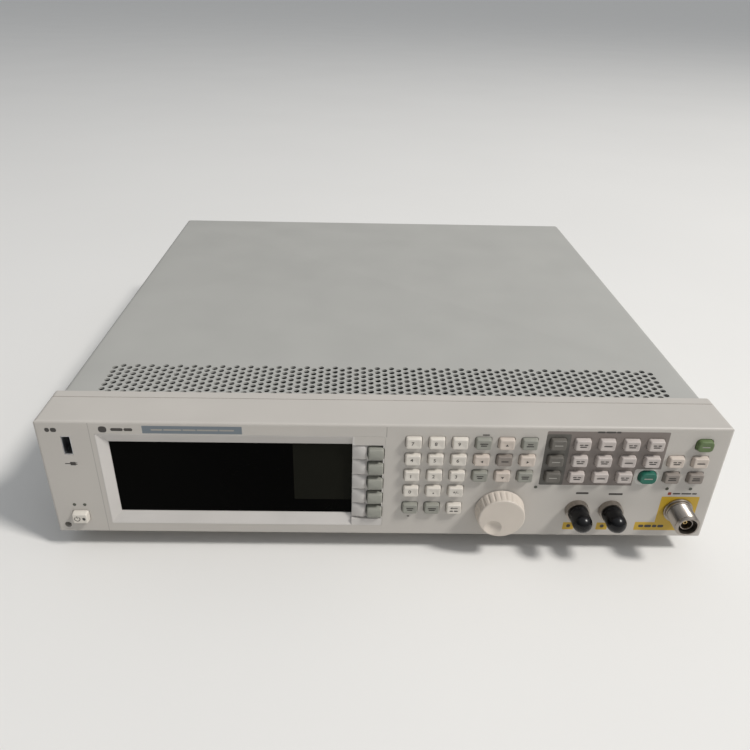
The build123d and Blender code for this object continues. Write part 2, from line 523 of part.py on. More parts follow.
def build():
    """Write every node."""
    os.makedirs("parts", exist_ok=True)
    key = key_cap(KEY_W, KEY_H, KEY_ROUND)
    soft = key_cap(SOFT_W, SOFT_H, KEY_ROUND)
    for name, (x, z) in SINGLE_KEYS.items():
        save(name, Pos(x, 0, z) * key)
    for name, (x, z) in SOFT_KEYS.items():
        save(name, Pos(x, 0, z) * soft)
    for name, places in KEY_GROUPS.items():
        save(name, *[Pos(x, 0, z) * key for x, z in places])
    for name, (x, z, width, height, radius) in OVAL_KEYS.items():
        save(name, Pos(x, 0, z) * key_cap(width, height, radius))
    for make in (front_bezel, display_frame, display_window, lcd_module, keypad_board, power_switch,
                 knob, encoder_shaft, rotary_encoder, rf_cable, outer_cover, chassis, rear_panel,
                 fan_frame, fan_rotor, processor_board, usb_socket):
        save(make.__name__, make())
    for make in (indicator_leds, input_connectors, rf_output_connector, rear_connectors, power_inlet,
                 power_supply, rf_module, screws):
        save(make.__name__, *make())
    for side, sign in (("left", -1), ("right", 1)):
        save(f"tilt_stand_{side}", tilt_stand(sign * FEET_X))
    for name, x in zip(("i_input_cap", "q_input_cap"), BNC_X):
        save(name, dust_cap(x))
    save("bottom_feet", *[front_foot(x) for x in (-FEET_X, FEET_X)],
         *[plain_foot(x, BACK_FOOT_Y) for x in (-FEET_X, FEET_X)])
    save("rear_feet", *[rear_foot(x, z, 20.0) for x, z in REAR_FEET])


build()
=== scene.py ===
import math

import bmesh
import bpy
from mathutils import Matrix, Vector


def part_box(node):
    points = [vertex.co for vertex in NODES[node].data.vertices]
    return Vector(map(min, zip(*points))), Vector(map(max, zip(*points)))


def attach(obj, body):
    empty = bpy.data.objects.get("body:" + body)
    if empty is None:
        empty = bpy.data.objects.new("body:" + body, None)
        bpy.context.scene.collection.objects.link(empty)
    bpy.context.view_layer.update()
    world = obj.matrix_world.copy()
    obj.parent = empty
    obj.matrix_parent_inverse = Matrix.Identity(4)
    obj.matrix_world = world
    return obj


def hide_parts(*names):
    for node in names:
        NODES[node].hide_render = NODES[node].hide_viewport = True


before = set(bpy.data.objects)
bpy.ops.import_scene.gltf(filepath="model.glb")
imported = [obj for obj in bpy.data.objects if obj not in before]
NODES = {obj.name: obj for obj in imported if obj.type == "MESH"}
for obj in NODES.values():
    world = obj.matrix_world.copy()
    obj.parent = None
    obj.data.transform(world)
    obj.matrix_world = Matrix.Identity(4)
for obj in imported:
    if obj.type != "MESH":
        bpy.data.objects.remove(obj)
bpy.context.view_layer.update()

# Sizes are in millimetres, measured like the CAD's: X from the middle of the front panel, Y into the
# case from the panel, Z up from the bezel's lower edge. at() turns them into the frame's metres.
MM = 0.001
BEZEL_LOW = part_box("front_bezel")[0]
SHARP = math.radians(38)


def at(x, y, z):
    """A point of the panel frame, in metres."""
    return Vector((x * MM, BEZEL_LOW.y + y * MM, BEZEL_LOW.z + z * MM))


def panel_mm(point):
    """The reverse of at()."""
    return Vector((point.x / MM, (point.y - BEZEL_LOW.y) / MM, (point.z - BEZEL_LOW.z) / MM))


# ---------------------------------------------------------------- materials

def new_material(name, colour, roughness, metallic=0.0, specular=0.5, coat=0.0):
    """A Principled material with its uniform values on the shader's own sockets."""
    made = bpy.data.materials.new(name)
    made.use_nodes = True
    shader = made.node_tree.nodes["Principled BSDF"]
    shader.inputs["Base Color"].default_value = (*colour, 1)
    shader.inputs["Roughness"].default_value = roughness
    shader.inputs["Metallic"].default_value = metallic
    shader.inputs["Specular IOR Level"].default_value = specular
    shader.inputs["Coat Weight"].default_value = coat
    shader.inputs["Coat Roughness"].default_value = 0.1
    return made, made.node_tree, shader


def noise_node(tree, scale, detail=3.0, stretch=None):
    """Noise in the object's own coordinates; scale is in waves per metre."""
    place = tree.nodes.new("ShaderNodeTexCoord").outputs["Object"]
    if stretch:
        mapping = tree.nodes.new("ShaderNodeMapping")
        mapping.inputs["Scale"].default_value = stretch
        tree.links.new(place, mapping.inputs["Vector"])
        place = mapping.outputs["Vector"]
    noise = tree.nodes.new("ShaderNodeTexNoise")
    noise.inputs["Scale"].default_value = scale
    noise.inputs["Detail"].default_value = detail
    tree.links.new(place, noise.inputs["Vector"])
    return noise.outputs["Fac"]


def ramp(tree, value, low, high):
    """Maps a noise value to a range."""
    node = tree.nodes.new("ShaderNodeMapRange")
    node.inputs["From Min"].default_value = 0.3
    node.inputs["From Max"].default_value = 0.7
    node.inputs["To Min"].default_value = low
    node.inputs["To Max"].default_value = high
    tree.links.new(value, node.inputs["Value"])
    return node.outputs["Result"]


def mix_colour(tree, factor, first, second):
    """Mixes two colours, given as values or sockets."""
    node = tree.nodes.new("ShaderNodeMix")
    node.data_type = "RGBA"
    tree.links.new(factor, node.inputs["Factor"])
    for socket, colour in ((node.inputs[6], first), (node.inputs[7], second)):
        if isinstance(colour, tuple):
            socket.default_value = (*colour, 1)
        else:
            tree.links.new(colour, socket)
    return node.outputs[2]


def shaded(colour, amount):
    """A colour made lighter or darker."""
    return tuple(channel * (1 + amount) for channel in colour)


GLOSS_SPREAD = 0.12                            # how far roughness wanders, as a share of it


def textured(name, colour, roughness, grain=2200, bump=0.12, depth=0.05, mottle=0.05, patch=30,
             metallic=0.0, specular=0.5, coat=0.0, stretch=None):
    """A material with fine surface grain, slight tone patches and an uneven gloss."""
    made, tree, shader = new_material(name, colour, roughness, metallic, specular, coat)
    patches = noise_node(tree, patch, 4.0)
    fine = noise_node(tree, grain, 2.0, stretch)
    colours = mix_colour(tree, ramp(tree, patches, 0, 1), shaded(colour, -mottle), shaded(colour, mottle))
    speckle = mix_colour(tree, ramp(tree, fine, 0, mottle), colours, shaded(colour, -0.5))
    tree.links.new(speckle, shader.inputs["Base Color"])
    gloss = ramp(tree, patches, roughness * (1 - GLOSS_SPREAD), min(1, roughness * (1 + GLOSS_SPREAD)))
    tree.links.new(gloss, shader.inputs["Roughness"])
    relief = tree.nodes.new("ShaderNodeBump")
    relief.inputs["Strength"].default_value = bump
    relief.inputs["Distance"].default_value = depth * MM
    tree.links.new(fine, relief.inputs["Height"])
    tree.links.new(relief.outputs["Normal"], shader.inputs["Normal"])
    return made, tree, shader, speckle


def inked(tree, shader, colour, fields):
    """Prints flat rounded fields (x0, x1, z0, z1, radius, ink) on the front face of a panel material."""
    place = tree.nodes.new("ShaderNodeTexCoord").outputs["Object"]
    parts = tree.nodes.new("ShaderNodeSeparateXYZ")
    tree.links.new(place, parts.inputs[0])
    front = tree.nodes.new("ShaderNodeMath")
    front.operation = "LESS_THAN"
    front.inputs[1].default_value = at(0, 0.05, 0).y
    tree.links.new(parts.outputs["Y"], front.inputs[0])
    for x0, x1, z0, z1, radius, ink in fields:
        mask = rounded_mask(tree, place, at(x0, 0, z0), at(x1, 0, z1), radius * MM)
        both = tree.nodes.new("ShaderNodeMath")
        both.operation = "MULTIPLY"
        tree.links.new(mask, both.inputs[0])
        tree.links.new(front.outputs[0], both.inputs[1])
        colour = mix_colour(tree, both.outputs[0], colour, ink)
    tree.links.new(colour, shader.inputs["Base Color"])


def rounded_mask(tree, place, low, high, radius):
    """1 inside a rounded rectangle in X and Z, 0 outside."""
    half = (high - low) / 2
    steps = [("MULTIPLY", (1, 0, 1)), ("SUBTRACT", ((low.x + high.x) / 2, 0, (low.z + high.z) / 2)),
             ("ABSOLUTE", None), ("SUBTRACT", (half.x - radius, 0, half.z - radius)),
             ("MAXIMUM", (0, 0, 0)), ("LENGTH", None)]
    for operation, operand in steps:
        node = tree.nodes.new("ShaderNodeVectorMath")
        node.operation = operation
        tree.links.new(place, node.inputs[0])
        if operand:
            node.inputs[1].default_value = operand
        place = node.outputs["Value" if operation == "LENGTH" else "Vector"]
    inside = tree.nodes.new("ShaderNodeMath")
    inside.operation = "LESS_THAN"
    inside.inputs[1].default_value = radius
    tree.links.new(place, inside.inputs[0])
    return inside.outputs[0]


# Colours of the panel and of the inks printed on it
PANEL_TONE = (0.50, 0.472, 0.435)
MENU_INK = (0.19, 0.162, 0.146)
DARK_INK = (0.10, 0.094, 0.082)
FIELD_INK = (0.62, 0.60, 0.56)
PALE_INK = (0.33, 0.315, 0.285)
BLUE_INK = (0.155, 0.185, 0.21)
YELLOW_INK = (0.50, 0.32, 0.02)
LEGEND_INK = (0.05, 0.045, 0.04)
RED_INK = (0.25, 0.04, 0.02)

# Colour and roughness of each plain material, and where it departs from textured()'s usual grain
LOOKS = {
    "case_paint": dict(colour=(0.397, 0.393, 0.37), roughness=0.62, grain=1500, bump=0.35, depth=0.12,
                       mottle=0.02, patch=22),
    "light_key": dict(colour=(0.64, 0.60, 0.54), roughness=0.55, grain=3000, bump=0.10),
    "menu_key": dict(colour=(0.50, 0.45, 0.42), roughness=0.55, grain=3000, bump=0.10),
    "arrow_key": dict(colour=(0.56, 0.49, 0.43), roughness=0.55, grain=3000, bump=0.10),
    "grey_key": dict(colour=(0.24, 0.21, 0.185), roughness=0.55, grain=3000, bump=0.10),
    "sage_key": dict(colour=(0.27, 0.27, 0.235), roughness=0.55, grain=3000, bump=0.10),
    "dark_key": dict(colour=(0.125, 0.115, 0.10), roughness=0.55, grain=3000, bump=0.10),
    "green_key": dict(colour=(0.10, 0.15, 0.055), roughness=0.5, grain=3000, bump=0.10),
    "teal_key": dict(colour=(0.006, 0.12, 0.08), roughness=0.5, grain=3000, bump=0.10),
    "knob_plastic": dict(colour=(0.60, 0.54, 0.475), roughness=0.5, grain=2800, bump=0.10),
    "cap_rubber": dict(colour=(0.004, 0.004, 0.0045), roughness=0.26, grain=1800, bump=0.08, mottle=0.2,
                       specular=0.3),
    "foot_rubber": dict(colour=(0.045, 0.045, 0.047), roughness=0.75, grain=900, bump=0.4, depth=0.1,
                        mottle=0.15),
    "rear_plastic": dict(colour=(0.20, 0.20, 0.195), roughness=0.55, grain=1600, bump=0.3, depth=0.08),
    "black_plastic": dict(colour=(0.02, 0.02, 0.021), roughness=0.45, grain=1800, bump=0.2, mottle=0.15),
    "circuit_board": dict(colour=(0.02, 0.16, 0.06), roughness=0.35, grain=500, bump=0.2, mottle=0.2),
    "led_lens": dict(colour=(0.06, 0.065, 0.045), roughness=0.3, grain=800, bump=0.05, mottle=0.1,
                     coat=0.3),
    "nickel": dict(colour=(0.36, 0.325, 0.29), roughness=0.33, grain=900, bump=0.10, depth=0.03,
                   mottle=0.10, patch=180, metallic=1.0),
    "zinc_steel": dict(colour=(0.55, 0.56, 0.57), roughness=0.38, grain=700, bump=0.12, depth=0.03,
                       mottle=0.12, patch=90, metallic=1.0),
    "module_metal": dict(colour=(0.66, 0.66, 0.67), roughness=0.35, grain=900, bump=0.15, depth=0.03,
                         mottle=0.08, patch=60, metallic=1.0),
    "rear_plate": dict(colour=(0.58, 0.58, 0.565), roughness=0.42, grain=600, bump=0.15, depth=0.03,
                       mottle=0.06, patch=50, metallic=0.9, stretch=(1, 1, 12)),
    "copper": dict(colour=(0.70, 0.38, 0.22), roughness=0.3, grain=700, bump=0.10, depth=0.03, mottle=0.12,
                   patch=90, metallic=1.0),
    "lcd_metal": dict(colour=(0.05, 0.05, 0.052), roughness=0.4, grain=600, bump=0.1, mottle=0.1),
    "legend_ink": dict(colour=LEGEND_INK, roughness=0.6, grain=2500, bump=0.05, mottle=0.1),
    "pale_ink": dict(colour=PALE_INK, roughness=0.6, grain=2500, bump=0.05),
    "red_ink": dict(colour=RED_INK, roughness=0.6, grain=2500, bump=0.05),
    "brass": dict(colour=(0.78, 0.56, 0.25), roughness=0.25, grain=900, bump=0.08, depth=0.03, mottle=0.1,
                  patch=150, metallic=1.0),
}
MATERIALS = {name: textured(name, **look)[0] for name, look in LOOKS.items()}


GLASS_DARK, GLASS_PALE = (0.0006, 0.0006, 0.0005), (0.0016, 0.0016, 0.0013)
# Painted reflection on the display glass: its tint, and the corners of the lighter rectangle in the upper
# right
REFLECTION_TINT = (0.0105, 0.0105, 0.0078)
REFLECTION_LOW, REFLECTION_HIGH = (-58, 0, 26), (40, 0, 90)          # past the glass at its right and upper edges


def display_glass():
    """Near-black glass with a low-reflection coating, and a lighter rectangle in its upper right that is a
    painted reflection.
    """
    made, tree, shader = new_material("display_glass", (0.002, 0.002, 0.002), 0.2, 0.0, 0.02)
    smears = noise_node(tree, 35, 5.0, (1, 1, 3))
    tree.links.new(ramp(tree, smears, 0.16, 0.26), shader.inputs["Roughness"])
    place = tree.nodes.new("ShaderNodeTexCoord").outputs["Object"]
    # painted reflection: the lighter rectangle over the upper right of the glass
    reflection_mask = rounded_mask(tree, place, at(*REFLECTION_LOW), at(*REFLECTION_HIGH), 0.5 * MM)
    dark = mix_colour(tree, ramp(tree, noise_node(tree, 9, 2.0), 0, 1), GLASS_DARK, GLASS_PALE)
    tint = mix_colour(tree, reflection_mask, dark, REFLECTION_TINT)
    tree.links.new(tint, shader.inputs["Base Color"])
    return made


MATERIALS["display_glass"] = display_glass()


# Printed fields: X from and to, Z from and to, corner radius, ink
BEZEL_FIELDS = (
    (98.6, 174.6, 43.2, 84.8, 1.0, MENU_INK),                        # menu block
    (98.6, 113.8, 43.2, 82.6, 1.0, DARK_INK),                        # its dark column
    (158.4, 176.0, 40.0, 56.4, 1.5, PANEL_TONE),                     # corner left out for the teal key
    (159.6, 174.2, 44.0, 56.4, 4.5, FIELD_INK),                      # field behind the teal key
    (-148.5, -88.0, 79.8, 85.4, 0.3, BLUE_INK),                      # header over the display
    (180.3, 205.2, 12.5, 34.4, 0.6, YELLOW_INK),                     # field behind the output
    (167.4, 196.0, 5.6, 12.6, 0.6, YELLOW_INK),                      # its label
    (119.6, 127.0, 5.6, 11.8, 0.6, YELLOW_INK),                      # label of the first input
    (142.0, 149.4, 5.6, 11.8, 0.6, YELLOW_INK),                      # label of the second input
    (-181.1, -180.7, 1.0, 87.0, 0.1, shaded(PANEL_TONE, -0.3)),      # seam beside the power switch
    (0.0, 0.4, 78.8, 86.4, 0.1, shaded(PANEL_TONE, -0.5)),           # short seam past the display
)
SURROUND_FIELDS = (
    (-19.5, 6.0, 72.9, 90.0, 1.0, PANEL_TONE),                       # above the soft keys
    (-0.9, 6.0, 0.0, 90.0, 0.5, PANEL_TONE),                         # to their right
)


def bezel_plastic():
    """Panel plastic with its printed fields."""
    made, tree, shader, colour = textured("bezel_plastic", PANEL_TONE, 0.5, 2400, 0.14, 0.05, 0.03, 18)
    inked(tree, shader, colour, BEZEL_FIELDS)
    return made


MATERIALS["bezel_plastic"] = bezel_plastic()


def surround_plastic():
    """Light display surround; the land round its keys is in the panel's tone."""
    made, tree, shader, colour = textured("surround_plastic", (0.56, 0.535, 0.51), 0.5, 2600, 0.10)
    inked(tree, shader, colour, SURROUND_FIELDS)
    return made


MATERIALS["surround_plastic"] = surround_plastic()


# ---------------------------------------------------------------- mesh helpers

def new_piece(name, verts, faces, material, body, slot=None):
    """A smooth-shaded mesh with crisp edges where it bends sharply, riding on a body."""
    data = bpy.data.meshes.new(name)
    data.from_pydata([tuple(v) for v in verts], [], faces)
    shape = bmesh.new()
    shape.from_mesh(data)
    bmesh.ops.remove_doubles(shape, verts=shape.verts, dist=1e-7)
    bmesh.ops.recalc_face_normals(shape, faces=shape.faces)
    for face in shape.faces:
        face.smooth = True
    for edge in shape.edges:
        edge.smooth = len(edge.link_faces) == 2 and edge.calc_face_angle(0) < SHARP
    shape.to_mesh(data)
    shape.free()
    data.materials.append(MATERIALS[material])
    piece = bpy.data.objects.new(name, data)
    bpy.context.scene.collection.objects.link(piece)
    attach(piece, body)
    return piece


def skin(rings, close_first=True, close_last=True, wrap=False):
    """Vertices and faces of a skin over rings of equal length; wrap joins the last ring to the first."""
    count = len(rings[0])
    verts = [point for ring in rings for point in ring]
    faces = []
    for level in range(len(rings) if wrap else len(rings) - 1):
        a, b = level * count, (level + 1) % len(rings) * count
        faces += [(a + i, a + (i + 1) % count, b + (i + 1) % count, b + i) for i in range(count)]
    if close_first and not wrap:
        faces.append(tuple(range(count)))
    if close_last and not wrap:
        faces.append(tuple(len(verts) - count + i for i in range(count)))
    return verts, faces


def merged(*shapes):
    """Several (verts, faces) pairs as one."""
    verts, faces = [], []
    for more_verts, more_faces in shapes:
        start = len(verts)
        verts += list(more_verts)
        faces += [tuple(start + i for i in face) for face in more_faces]
    return verts, faces


def rounded_ring(width, height, radius, steps=5):
    """Points round a rounded rectangle, in X and Z, about 0."""
    radius = max(0.05, min(radius, width / 2 - 0.01, height / 2 - 0.01))
    corners = ((1, 1, 0), (-1, 1, 90), (-1, -1, 180), (1, -1, 270))
    return [(sx * (width / 2 - radius) + radius * math.cos(math.radians(start + 90 * i / steps)),
             sz * (height / 2 - radius) + radius * math.sin(math.radians(start + 90 * i / steps)))
            for sx, sz, start in corners for i in range(steps + 1)]


def lathe(x, z, profile, segments=64, wrap=False, close=(True, True)):
    """Turns a profile of (radius, y) about an axis along Y."""
    rings = [[at(x + radius * math.cos(2 * math.pi * i / segments), y,
                 z + radius * math.sin(2 * math.pi * i / segments)) for i in range(segments)]
             for radius, y in profile]
    return skin(rings, *close, wrap=wrap)


def arc(cx, cy, radius, start, end, steps):
    """Points on an arc, for profiles."""
    return [(cx + radius * math.cos(math.radians(start + (end - start) * i / steps)),
             cy + radius * math.sin(math.radians(start + (end - start) * i / steps)))
            for i in range(steps + 1)]


def islands(node):
    """(lowest, highest) corner of each separate solid of a node in panel millimetres, by row then column."""
    shape = bmesh.new()
    shape.from_mesh(NODES[node].data)
    bmesh.ops.remove_doubles(shape, verts=shape.verts, dist=1e-6)
    left, boxes = set(shape.verts), []
    while left:
        group, front = set(), [left.pop()]
        while front:
            vert = front.pop()
            group.add(vert)
            fresh = {edge.other_vert(vert) for edge in vert.link_edges} & left
            left -= fresh
            front += fresh
        corners = [panel_mm(vert.co) for vert in group]
        boxes.append(tuple(Vector([pick(c[i] for c in corners) for i in range(3)])
                           for pick in (min, max)))
    shape.free()
    return sorted(boxes, key=lambda b: (-round(b[0].z), b[0].x))


# ---------------------------------------------------------------- keys

KEY_LIP, KEY_SHANK = 0.7, 2.6                  # retaining lip of the CAD's keys, depth inside the panel
KEY_SLOPE, KEY_ROUND, KEY_DISH = math.tan(math.radians(9)), 0.65, 0.28
KEY_CORNER, SOFT_CROWN = 1.3, 0.45             # usual corner radius, and how far a soft key falls away


def key_shape(x, z, width, height, corner, out, crown=0.0):
    """Tapered key with a rolled edge and a shallow finger dish, or crowned like a drum when crown is
    over 0; its shank ends inside the panel."""
    def ring(inset, y):
        points = rounded_ring(width - 2 * inset, height - 2 * inset, corner - 0.5 * inset)
        return [at(x + px, y * (1 - crown * (2 * pz / height) ** 2) if y < 0 else y, z + pz)
                for px, pz in points]
    shoulder = out - KEY_ROUND
    base = KEY_SLOPE * shoulder
    rings = [ring(0, KEY_SHANK), ring(0, 0), ring(base / 2, -shoulder / 2), ring(base, -shoulder)]
    for degree in (18, 36, 54, 72, 90):
        turn = math.radians(degree)
        rings.append(ring(base + KEY_ROUND * (1 - math.cos(turn)), -shoulder - KEY_ROUND * math.sin(turn)))
    rim = base + KEY_ROUND
    room = min(width, height) / 2 - rim
    for step in (0.1, 0.22, 0.38, 0.56, 0.76, 0.94):
        dip = 0 if crown else KEY_DISH * math.sin(math.pi / 2 * step) ** 2
        rings.append(ring(rim + room * step, -out + dip))
    return skin(rings)


def plate(x0, x1, z0, z1, radius, y, thick=0.05):
    """Thin rounded printed bar facing the front."""
    ring = rounded_ring(x1 - x0, z1 - z0, radius, 3)
    mid_x, mid_z = (x0 + x1) / 2, (z0 + z1) / 2
    return skin([[at(mid_x + px, y + dy, mid_z + pz) for px, pz in ring] for dy in (0, -thick)])


def polygon(points, y, thick=0.05):
    """Thin printed polygon facing the front."""
    return skin([[at(px, y + dy, pz) for px, pz in points] for dy in (0, -thick)])


def words(x, z, widths, y, height=0.75, gap=0.6):
    """A row of small bars in place of lettering, centred on x."""
    start = x - (sum(widths) + gap * (len(widths) - 1)) / 2
    bars = []
    for width in widths:
        bars.append(plate(start, start + width, z - height / 2, z + height / 2, height / 2.5, y))
        start += width + gap
    return merged(*bars)


def figure(text, x, z, size, y):
    """A figure or sign as a thin mesh facing the front."""
    curve = bpy.data.curves.new("figure", "FONT")
    curve.body, curve.size = text, size * MM
    curve.align_x, curve.align_y = "CENTER", "CENTER"
    curve.extrude, curve.resolution_u = 0.025 * MM, 3
    curve.offset = 0.012 * size * MM
    holder = bpy.data.objects.new("figure", curve)
    mesh = bpy.data.meshes.new_from_object(holder)
    stand = Matrix.Translation(at(x, y, z)) @ Matrix.Rotation(math.radians(90), 4, "X")
    verts = [stand @ vert.co for vert in mesh.vertices]
    faces = [tuple(face.vertices) for face in mesh.polygons]
    bpy.data.objects.remove(holder)
    bpy.data.curves.remove(curve)
    bpy.data.meshes.remove(mesh)
    return verts, faces


def arrow(x, z, turn, size, y):
    """A solid arrowhead that points up when turn is 0, turned anticlockwise in degrees."""
    points = []
    for px, pz in ((-0.9, -0.6), (0.9, -0.6), (0, 0.8)):
        c, s = math.cos(math.radians(turn)), math.sin(math.radians(turn))
        points.append((x + size * (c * px - s * pz), z + size * (s * px + c * pz)))
    return polygon(points, y)


def settle(shape, x, z, width, height, out):
    """Lays a flat legend on a key's dished face."""
    verts, faces = shape
    rim = KEY_SLOPE * (out - KEY_ROUND) + KEY_ROUND
    laid = []
    for vert in verts:
        spot = panel_mm(vert)
        inset = min(width / 2 - abs(spot.x - x), height / 2 - abs(spot.z - z)) - rim
        step = max(0.0, min(0.94, inset / (min(width, height) / 2 - rim)))
        laid.append(at(spot.x, spot.y + KEY_DISH * math.sin(math.pi / 2 * step) ** 2, spot.z))
    return laid, faces


def key(node, box, material, corner, body, legend=None, ink="legend_ink", label=None, crown=0.0):
    """One finished key over its CAD solid, with its legend."""
    low, high = box
    x, z = (low.x + high.x) / 2, (low.z + high.z) / 2
    width, height = high.x - low.x - 2 * KEY_LIP, high.z - low.z - 2 * KEY_LIP
    name = label or f"{node}_cap"
    slot = {"menu_key": "light_key", "arrow_key": "light_key", "sage_key": "grey_key"}.get(material, material)
    piece = new_piece(name, *key_shape(x, z, width, height, corner, -low.y, crown), material, body, slot)
    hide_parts(node)
    if legend:
        flat = legend(x, z, low.y - 0.01)
        new_piece(f"{name}_legend", *settle(flat, x, z, width, height, -low.y), ink, body)


def node_box(node):
    """A node's box in panel millimetres."""
    low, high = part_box(node)
    return panel_mm(low), panel_mm(high)


def bars(*rows):
    """A legend of rows of small bars, one tuple of widths per row."""
    def draw(x, z, y):
        top = 0.75 * (len(rows) - 1)
        return merged(*[words(x, z + top - 1.5 * i, row, y) for i, row in enumerate(rows)])
    return draw


def build_keys():
    """Every key and push button."""
    for digit in "0123456789":
        key(f"key_{digit}", node_box(f"key_{digit}"), "light_key", KEY_CORNER, f"key_{digit}",
            lambda x, z, y, text=digit: figure(text, x - 0.8, z + 0.2, 3.6, y))
    key("key_point", node_box("key_point"), "light_key", KEY_CORNER, "key_point",
        lambda x, z, y: plate(x - 0.5, x + 0.5, z - 1.1, z - 0.1, 0.45, y))
    key("key_sign", node_box("key_sign"), "light_key", KEY_CORNER, "key_sign",
        lambda x, z, y: figure("+/-", x, z, 3.2, y))
    for name, turn in (("key_up", 0), ("key_left", 90), ("key_down", 180), ("key_right", 270)):
        key(name, node_box(name), "arrow_key", KEY_CORNER, name,
            lambda x, z, y, angle=turn: arrow(x, z - 0.2, angle, 1.1, y))
    key("key_select", node_box("key_select"), "grey_key", KEY_CORNER, "key_select", bars((4.6,)))
    middle = node_box("key_select")[0]
    legends = (((5.0,), (3.8,)), ((3.4,), (4.6,)), ((4.4,), (3.2,)), ((5.0,), (4.2,)))
    for box, rows in zip(islands("corner_keys"), legends):
        side = "left" if box[0].x < middle.x else "right"
        tag = f"corner_key_{side}_{'top' if box[0].z > middle.z else 'low'}"
        key("corner_keys", box, "sage_key", KEY_CORNER, "corner_keys", bars(*rows), label=tag)
    entry_looks = (("a", "sage_key", bars((4.6,), (3.4,))), ("b", "sage_key", bars((5.4,), (4.0,))),
                   ("c", "light_key", back_arrow))
    for box, (letter, material, legend) in zip(islands("entry_keys"), entry_looks):
        key("entry_keys", box, material, KEY_CORNER, "entry_keys", legend, label=f"entry_key_{letter}")
    build_function_keys()
    for name in ("key_mod", "key_rf"):
        key(name, node_box(name), "grey_key", 1.5, name, bars((4.6,), (5.2,)))
    key("key_preset", node_box("key_preset"), "green_key", 2.6, "key_preset", bars((5.0,)), "pale_ink")
    key("key_trigger", node_box("key_trigger"), "teal_key", 3.4, "key_trigger", bars((5.4,)), "pale_ink")
    for number in range(1, 6):
        name = f"softkey_{number}"
        key(name, node_box(name), "sage_key", KEY_CORNER, name, crown=SOFT_CROWN)
    key("power_switch", node_box("power_switch"), "light_key", KEY_CORNER, "power_switch", power_mark)


DARK_UP_TO, LIGHT_FROM = 112, 175              # X that parts the dark, menu and light function keys


def build_function_keys():
    """Three dark keys, eleven menu keys and the two light keys at the right."""
    for count, box in enumerate(islands("function_keys"), 1):
        middle = (box[0].x + box[1].x) / 2
        dark = middle < DARK_UP_TO
        rows = ((5.2,),) if dark or count % 3 == 0 else ((2.4, 2.2), (4.2,))
        shade = "dark_key" if dark else "arrow_key" if middle > LIGHT_FROM else "menu_key"
        key("function_keys", box, shade, KEY_CORNER, "function_keys", bars(*rows),
            "pale_ink" if dark else "legend_ink", label=f"function_key_{count:02d}")


def back_arrow(x, z, y):
    """Arrow to the left with a shaft, over two small bars."""
    return merged(arrow(x - 1.7, z + 1.2, 90, 1.0, y), plate(x - 1.4, x + 2.4, z + 0.9, z + 1.5, 0.2, y),
                  words(x, z - 1.2, (2.2, 2.6), y))


def power_mark(x, z, y):
    """The usual stand-by sign: a broken ring with a stroke, and a small dot beside it."""
    outer, inner, steps = 1.9, 1.45, 20
    angles = [math.radians(125 + 290 * i / steps) for i in range(steps + 1)]
    ring = [(x - 1.6 + r * math.cos(a), z + r * math.sin(a))
            for r, line in ((outer, angles), (inner, angles[::-1])) for a in line]
    return merged(polygon(ring, y), plate(x - 1.85, x - 1.35, z + 0.3, z + 2.3, 0.2, y),
                  plate(x + 1.6, x + 3.8, z - 1.1, z + 1.1, 1.0, y))


# ---------------------------------------------------------------- panel print

PRINT_Y = -0.01                                # just proud of the panel's face
# Rows of bars in place of lettering: middle in X and Z, widths and height of the bars
PANEL_WORDS = (
    (128.0, 36.6, (8.2,), 1.5), (149.8, 36.1, (9.2,), 1.5),          # over the two inputs
    (194.6, 36.9, (5.0, 6.5, 3.0), 1.1),                             # over the output
    (123.4, 8.8, (2.6,), 2.6), (145.8, 8.8, (2.6,), 2.6),            # on the inputs' labels
    (178.6, 9.2, (3.4, 4.6, 3.0, 4.0), 2.2),                         # on the output's label
    (-172.4, 82.4, (5.0,), 4.4), (-160.9, 82.4, (7.4, 5.2), 2.1),    # round mark and words in the header
    (61.2, 81.4, (4.4,), 0.8),                                       # over the arrow pad
    (-203.8, 81.6, (2.8, 3.6), 3.0),                                 # in the upper left corner
    (16.4, 16.0, (1.6,), 0.9),                                       # under the number pad
    (136.6, 84.4, (4.6, 6.0, 2.6), 1.2),                             # over the menu block
)
HEADER_AT, HEADER_WORDS, HEADER_TALL = (-118.0, 82.5), (7.0, 11.0, 8.0, 13.0, 9.0), 1.1
WARNING_MARK = (183.6, 185.8, 35.8, 38.0, 0.3)           # X from and to, Z from and to, corner radius
PLUG_AT = (-196.2, 56.2)


def build_print():
    """Generic marks on the panel: bars stand in for lettering, with plain signs for the sockets."""
    dark = [words(x, z, widths, PRINT_Y, height) for x, z, widths, height in PANEL_WORDS]
    new_piece("panel_legends", *merged(*dark), "legend_ink", "case")
    header = words(*HEADER_AT, HEADER_WORDS, PRINT_Y, HEADER_TALL)
    new_piece("panel_legends_pale", *header, "pale_ink", "case")
    new_piece("output_warning_mark", *plate(*WARNING_MARK, PRINT_Y), "red_ink", "case")
    new_piece("usb_mark", *plug_mark(*PLUG_AT, PRINT_Y), "legend_ink", "case")


def plug_mark(x, z, y):
    """Generic plug outline: a shell, a cable stroke and two contacts."""
    return merged(plate(x - 0.2, x + 3.2, z - 1.3, z + 1.3, 0.4, y),
                  plate(x - 3.4, x - 0.2, z - 0.3, z + 0.3, 0.2, y),
                  plate(x + 3.2, x + 4.2, z + 0.3, z + 0.8, 0.1, y),
                  plate(x + 3.2, x + 4.2, z - 0.8, z - 0.3, 0.1, y))


# ---------------------------------------------------------------- pads beside the soft keys

PAD_ENDS, PAD_FEET = (-20.4, -12.8), 1.9       # X of the two ends, and how deep the foot lies
PAD_RISE, PAD_GAP = (0.7, 2.9), 0.05           # crown over the foot at each end, half the gap between two
PAD_STEPS = (10, 14)                           # faces along and across


